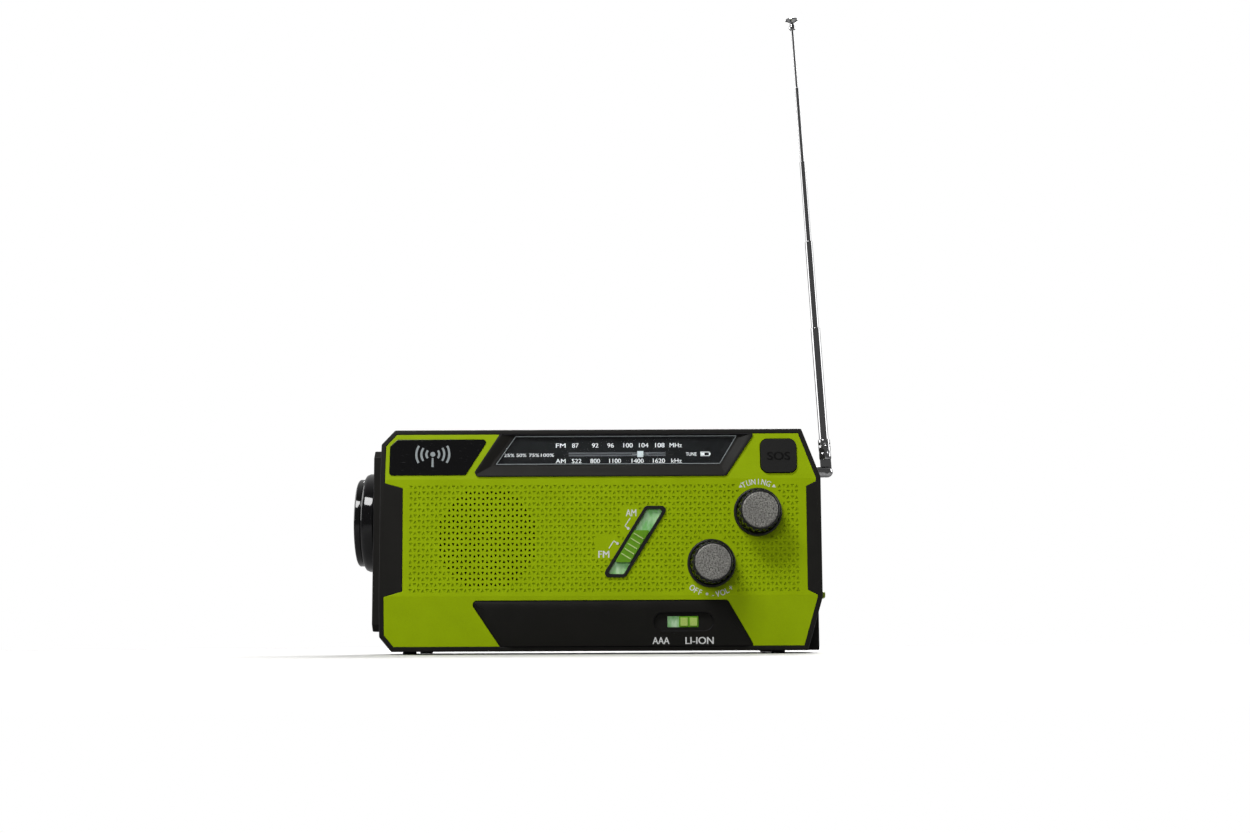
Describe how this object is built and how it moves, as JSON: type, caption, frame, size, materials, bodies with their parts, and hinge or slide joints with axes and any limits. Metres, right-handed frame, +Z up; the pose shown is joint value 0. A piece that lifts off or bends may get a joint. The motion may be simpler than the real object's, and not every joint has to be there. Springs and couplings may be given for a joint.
{
  "type": "emergency radio",
  "caption": "Portable emergency radio with hand crank, telescopic antenna, torch at one end, tuning dial, speaker grille, slide switches and a tilting solar lid.",
  "frame": {"origin": "centre of the case's footprint, on the plane the rubber feet stand on", "axes": "+X to the right seen from the front, towards the crank; +Y from the front panel to the rear; +Z up"},
  "size_m": [0.1895, 0.0882, 0.2652],
  "materials": {
    "black_case": "fine satin texture",
    "green_panel": "satin",
    "black_gloss": "polished",
    "dial_print": "satin",
    "pointer_grey": "satin",
    "mint_strip": "satin",
    "lime_slider": "satin",
    "knob_black": "satin",
    "silver_cap": "speckled satin",
    "black_rubber": "matt",
    "steel": "machined",
    "chrome": "polished",
    "clear_lens": "polished",
    "mirror_bowl": "polished",
    "led_board": "satin",
    "circuit_board": "satin",
    "component_black": "satin",
    "ferrite": "ground",
    "speaker_paper": "matt",
    "cell_wrap": "satin",
    "cell_blue": "satin",
    "solar_glass": "polished",
    "lamp_lens": "frosted",
    "nylon_gear": "satin",
    "crank_green": "satin"
  },
  "bodies": {
    "case": {"front_frame": "black_case", "front_panel": "green_panel", "rear_shell": "black_case", "light_end_cap": "black_case", "crank_end_cap": "black_case", "rubber_feet": "black_rubber", "case_screws": "steel", "badge_plate": "black_gloss", "dial_bezel": "black_case", "dial_window": "clear_lens", "dial_scale": "dial_print", "switch_trim": "black_case", "board_switches": "component_black", "control_surrounds": "knob_black", "tuning_capacitor": "component_black", "volume_pot": "steel", "slot_strips": "mint_strip", "main_board": "circuit_board", "ferrite_rod": "ferrite", "speaker": "speaker_paper", "torch_body": "black_gloss", "torch_bezel": "black_gloss", "torch_lens": "clear_lens", "torch_reflector": "mirror_bowl", "torch_led_board": "led_board", "aaa_cells": "cell_wrap", "lithium_cell": "cell_blue", "port_sockets": "steel", "hinge_pins": "steel", "generator_housing": "steel"},
    "tuning": {"tuning_knob": "knob_black", "tuning_knob_cap": "silver_cap", "tuning_shaft": "steel"},
    "pointer": {"dial_pointer": "pointer_grey"},
    "volume": {"volume_knob": "knob_black", "volume_knob_cap": "silver_cap", "volume_shaft": "steel"},
    "band_slide_knob": {"band_slider": "lime_slider"},
    "source_slide_knob": {"source_slider": "lime_slider"},
    "call_button": {"sos_button": "black_rubber"},
    "crank": {"crank_hub": "black_case", "crank_hinge_pin": "steel", "crank_gear": "nylon_gear"},
    "crank_handle": {"crank_arm": "crank_green"},
    "crank_grip": {"crank_knob": "knob_black"},
    "idler": {"idler_gear": "nylon_gear"},
    "rotor": {"generator_rotor": "steel"},
    "lid": {"solar_lid": "black_case", "solar_cell": "solar_glass", "reading_lamp_lens": "lamp_lens"},
    "battery_cover": {"battery_door": "black_case"},
    "socket_cover": {"port_cover": "black_rubber"},
    "antenna_base": {"antenna_post": "chrome", "antenna_rivet": "chrome"},
    "antenna_1": {"antenna_ferrule": "chrome", "antenna_tube_1": "chrome"},
    "antenna_2": {"antenna_tube_2": "chrome"},
    "antenna_3": {"antenna_tube_3": "chrome"},
    "antenna_4": {"antenna_tube_4": "chrome"},
    "antenna_5": {"antenna_tip": "chrome"}
  },
  "joints": [
    {"name": "tuning_turn", "type": "hinge", "parent": "case", "child": "tuning", "pos_m": [0.0587, -0.04, 0.0523], "axis": [0, 1, 0], "range_deg": [-216, 66]},
    {"name": "pointer_slide", "type": "slide", "parent": "case", "child": "pointer", "axis": [1, 0, 0], "range_m": [-0.0262, 0.0082]},
    {"name": "volume_turn", "type": "hinge", "parent": "case", "child": "volume", "pos_m": [0.0412, -0.04, 0.0333], "axis": [0, 1, 0], "range_deg": [0, 290]},
    {"name": "band_slide", "type": "slide", "parent": "case", "child": "band_slide_knob", "axis": [0.527, 0, 0.8499], "range_m": [0, 0.0069]},
    {"name": "source_slide", "type": "slide", "parent": "case", "child": "source_slide_knob", "axis": [-1, 0, 0], "range_m": [0, 0.00425]},
    {"name": "call_press", "type": "slide", "parent": "case", "child": "call_button", "axis": [0, 1, 0], "range_m": [0, 0.0012]},
    {"name": "crank_turn", "type": "hinge", "parent": "case", "child": "crank", "pos_m": [0.075, 0.006, 0.045], "axis": [1, 0, 0], "continuous": true},
    {"name": "crank_unfold", "type": "hinge", "parent": "crank", "child": "crank_handle", "pos_m": [0.0838, 0.006, 0.045], "axis": [0, -1, 0], "range_deg": [0, 180]},
    {"name": "crank_grip_spin", "type": "hinge", "parent": "crank_handle", "child": "crank_grip", "pos_m": [0.077, 0.006, 0.027], "axis": [1, 0, 0], "continuous": true},
    {"name": "idler_turn", "type": "hinge", "parent": "case", "child": "idler", "pos_m": [0.065, 0.018, 0.02422], "axis": [1, 0, 0], "continuous": true},
    {"name": "rotor_turn", "type": "hinge", "parent": "case", "child": "rotor", "pos_m": [0.05, 0.003, 0.02422], "axis": [1, 0, 0], "continuous": true},
    {"name": "lid_tilt", "type": "hinge", "parent": "case", "child": "lid", "pos_m": [-0.01, 0.0242, 0.0819], "axis": [-1, 0, 0], "range_deg": [0, 70]},
    {"name": "battery_door_slide", "type": "slide", "parent": "case", "child": "battery_cover", "axis": [-1, 0, 0], "range_m": [0, 0.06]},
    {"name": "socket_cover_open", "type": "hinge", "parent": "case", "child": "socket_cover", "pos_m": [0.00915, 0.0364, 0.022], "axis": [0, 0, 1], "range_deg": [0, 90]},
    {"name": "antenna_swivel", "type": "hinge", "parent": "case", "child": "antenna_base", "pos_m": [0.085, 0.0205, 0.0727], "axis": [1, 0, 0], "range_deg": [-90, 90]},
    {"name": "antenna_fold", "type": "hinge", "parent": "antenna_base", "child": "antenna_1", "pos_m": [0.0914, 0.0205, 0.0727], "axis": [0, 1, 0], "range_deg": [0, 93.3]},
    {"name": "antenna_slide_2", "type": "slide", "parent": "antenna_1", "child": "antenna_2", "axis": [-0.0576, 0, 0.9983], "range_m": [-0.0353, 0]},
    {"name": "antenna_slide_3", "type": "slide", "parent": "antenna_2", "child": "antenna_3", "axis": [-0.0576, 0, 0.9983], "range_m": [-0.0328, 0]},
    {"name": "antenna_slide_4", "type": "slide", "parent": "antenna_3", "child": "antenna_4", "axis": [-0.0576, 0, 0.9983], "range_m": [-0.0308, 0]},
    {"name": "antenna_slide_5", "type": "slide", "parent": "antenna_4", "child": "antenna_5", "axis": [-0.0576, 0, 0.9983], "range_m": [-0.024, 0]}
  ],
  "couplings": [
    {"joint": "pointer_slide", "follows": "tuning_turn", "m_per_rad": 0.00687},
    {"joint": "idler_turn", "follows": "crank_turn", "ratio": -4},
    {"joint": "rotor_turn", "follows": "crank_turn", "ratio": 16}
  ]
}
